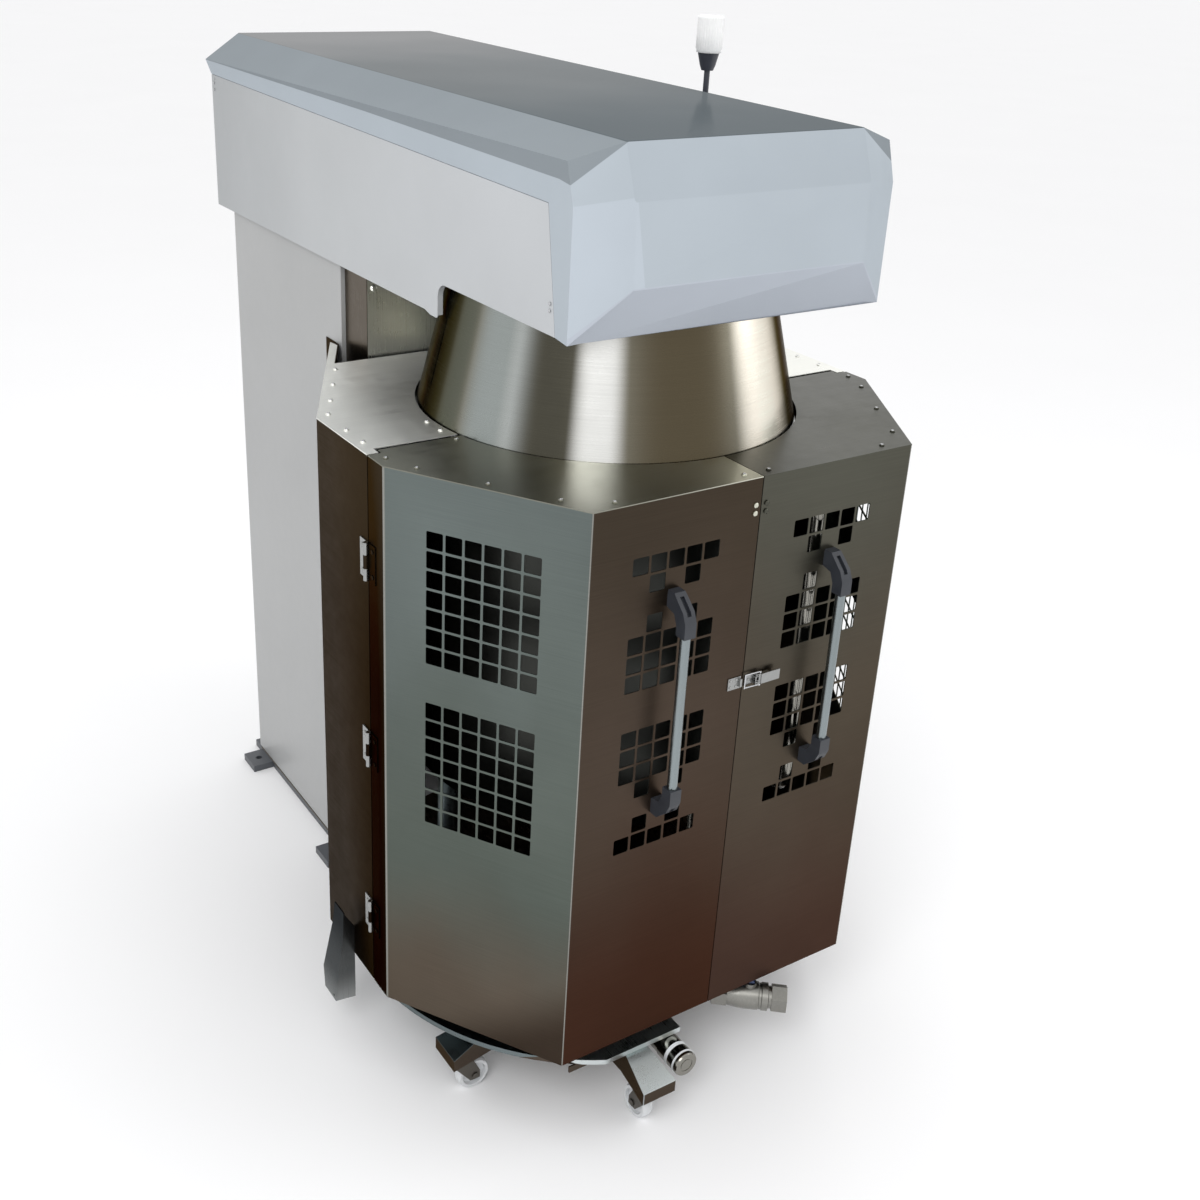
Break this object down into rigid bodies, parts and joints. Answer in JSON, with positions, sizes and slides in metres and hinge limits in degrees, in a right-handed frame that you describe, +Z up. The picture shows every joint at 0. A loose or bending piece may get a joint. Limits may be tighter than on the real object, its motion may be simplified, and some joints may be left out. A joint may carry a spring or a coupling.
{
  "type": "planetary mixer",
  "caption": "Planetary mixer with a lifting drive head on a column, a jacketed bowl on a castor trolley, and an octagonal vented guard cabinet with hinged doors.",
  "frame": {"origin": "on the floor directly under the planetary drive's vertical axis", "axes": "+Z up along the planetary axis, -Y towards the operator in front of the doors, +X to the operator's right"},
  "size_m": [1.294, 1.894, 2.21],
  "materials": {
    "frame_steel": "satin",
    "column_sheet": "satin",
    "ground_steel": "ground",
    "brushed_sheet": "brushed",
    "brushed_top": "brushed",
    "bracket_sheet": "brushed",
    "hinge_steel": "satin",
    "trolley_sheet": "brushed",
    "bowl_steel": "polished",
    "seal_white": "matt",
    "pipe_steel": "polished",
    "valve_steel": "cast and satin",
    "lever_blue": "satin",
    "castor_steel": "satin",
    "castor_tread": "matt",
    "hood_paint": "gloss",
    "panel_paint": "satin",
    "cast_grey": "painted",
    "cone_steel": "brushed",
    "gear_steel": "hobbed",
    "motor_paint": "gloss",
    "belt_rubber": "matt",
    "lamp_black": "satin",
    "lamp_clear": "gloss",
    "handle_black": "matt",
    "handle_steel": "satin"
  },
  "bodies": {
    "stand": {"base_plate": "frame_steel", "column_shell": "column_sheet", "guide_rails": "ground_steel", "lift_cylinder": "frame_steel", "cabinet_rear_walls": "brushed_sheet", "cabinet_rear_top": "brushed_top", "side_brackets": "bracket_sheet", "hinge_fixed_leaves": "hinge_steel", "hinge_pins": "ground_steel", "trolley_frame": "trolley_sheet", "bowl": "bowl_steel", "jacket": "bowl_steel", "rim_gasket": "seal_white", "jacket_pipes": "pipe_steel", "outlet_pipe": "pipe_steel", "outlet_seals": "seal_white", "outlet_cap": "pipe_steel", "valve_body": "valve_steel"},
    "valve_handle": {"valve_lever": "lever_blue"},
    "head": {"hood": "hood_paint", "side_panel_left": "panel_paint", "side_panel_right": "panel_paint", "head_frame": "frame_steel", "carriage": "cast_grey", "mast_cover": "brushed_sheet", "lift_rod": "ground_steel", "cone_shroud": "cone_steel", "gearbox_housing": "cast_grey", "sun_gear": "gear_steel", "motor": "motor_paint", "drive_belt": "belt_rubber", "lamp_stem": "lamp_black", "lamp_lens": "lamp_clear"},
    "carrier": {"planet_carrier": "bowl_steel", "main_shaft": "ground_steel", "scraper_arm": "bowl_steel", "scraper_blade": "seal_white"},
    "left_beater": {"beater_left": "bowl_steel"},
    "right_beater": {"beater_right": "bowl_steel"},
    "motor_rotor": {"motor_pulley": "cast_grey"},
    "left_door": {"door_shell_left": "brushed_sheet", "door_top_left": "brushed_top", "handle_left": "handle_black", "handle_tubes_left": "handle_steel", "latch_keeper": "hinge_steel"},
    "right_door": {"door_shell_right": "brushed_sheet", "door_top_right": "brushed_top", "handle_right": "handle_black", "handle_tubes_right": "handle_steel", "latch_base": "hinge_steel"},
    "latch_arm": {"latch_lever": "hinge_steel"},
    "latch_bail": {"latch_loop": "ground_steel"},
    "front_castor": {"fork_front": "castor_steel"},
    "front_roller": {"wheel_front": "castor_tread"},
    "left_castor": {"fork_left": "castor_steel"},
    "left_roller": {"wheel_left": "castor_tread"},
    "right_castor": {"fork_right": "castor_steel"},
    "right_roller": {"wheel_right": "castor_tread"},
    "rear_castor": {"fork_rear": "castor_steel"},
    "rear_roller": {"wheel_rear": "castor_tread"}
  },
  "joints": [
    {"name": "head_lift", "type": "slide", "parent": "stand", "child": "head", "axis": [0, 0, 1], "range_m": [0, 0.74]},
    {"name": "carrier_spin", "type": "hinge", "parent": "head", "child": "carrier", "pos_m": [0, 0, 1.65], "axis": [0, 0, 1], "continuous": true},
    {"name": "left_beater_spin", "type": "hinge", "parent": "carrier", "child": "left_beater", "pos_m": [-0.168, 0, 1.62], "axis": [0, 0, 1], "continuous": true},
    {"name": "right_beater_spin", "type": "hinge", "parent": "carrier", "child": "right_beater", "pos_m": [0.168, 0, 1.62], "axis": [0, 0, 1], "continuous": true},
    {"name": "motor_spin", "type": "hinge", "parent": "head", "child": "motor_rotor", "pos_m": [0, 0.33, 1.95], "axis": [0, 0, 1], "continuous": true},
    {"name": "left_door_hinge", "type": "hinge", "parent": "stand", "child": "left_door", "pos_m": [-0.604, -0.094, 0.829], "axis": [0, 0, -1], "range_deg": [0, 110]},
    {"name": "right_door_hinge", "type": "hinge", "parent": "stand", "child": "right_door", "pos_m": [0.604, -0.094, 0.829], "axis": [0, 0, 1], "range_deg": [0, 110]},
    {"name": "latch_throw", "type": "hinge", "parent": "right_door", "child": "latch_arm", "pos_m": [0.028, -0.523, 1.036], "axis": [0, 0, -1], "range_deg": [0, 120]},
    {"name": "latch_loop_swing", "type": "hinge", "parent": "latch_arm", "child": "latch_bail", "pos_m": [0.038, -0.523, 1.036], "axis": [0, 0, -1], "range_deg": [-120, 0]},
    {"name": "valve_turn", "type": "hinge", "parent": "stand", "child": "valve_handle", "pos_m": [0.1411, -0.4945, 0.175], "axis": [0, 0, 1], "range_deg": [0, 90]},
    {"name": "front_swivel", "type": "hinge", "parent": "stand", "child": "front_castor", "pos_m": [-0.169, -0.544, 0.1], "axis": [0, 0, 1], "continuous": true},
    {"name": "front_roll", "type": "hinge", "parent": "front_castor", "child": "front_roller", "pos_m": [-0.169, -0.514, 0.0375], "axis": [1, 0, 0], "continuous": true},
    {"name": "left_swivel", "type": "hinge", "parent": "stand", "child": "left_castor", "pos_m": [-0.472, -0.26, 0.1], "axis": [0, 0, 1], "continuous": true},
    {"name": "left_roll", "type": "hinge", "parent": "left_castor", "child": "left_roller", "pos_m": [-0.442, -0.26, 0.0375], "axis": [0, 1, 0], "continuous": true},
    {"name": "right_swivel", "type": "hinge", "parent": "stand", "child": "right_castor", "pos_m": [0.472, -0.26, 0.1], "axis": [0, 0, 1], "continuous": true},
    {"name": "right_roll", "type": "hinge", "parent": "right_castor", "child": "right_roller", "pos_m": [0.442, -0.26, 0.0375], "axis": [0, 1, 0], "continuous": true},
    {"name": "rear_swivel", "type": "hinge", "parent": "stand", "child": "rear_castor", "pos_m": [0.169, 0.432, 0.1], "axis": [0, 0, 1], "continuous": true},
    {"name": "rear_roll", "type": "hinge", "parent": "rear_castor", "child": "rear_roller", "pos_m": [0.169, 0.402, 0.0375], "axis": [1, 0, 0], "continuous": true}
  ],
  "couplings": [
    {"joint": "left_beater_spin", "follows": "carrier_spin", "ratio": 1.3333},
    {"joint": "right_beater_spin", "follows": "carrier_spin", "ratio": 1.3333},
    {"joint": "motor_spin", "follows": "carrier_spin", "ratio": 2.3636},
    {"joint": "latch_loop_swing", "follows": "latch_throw", "ratio": -1}
  ]
}
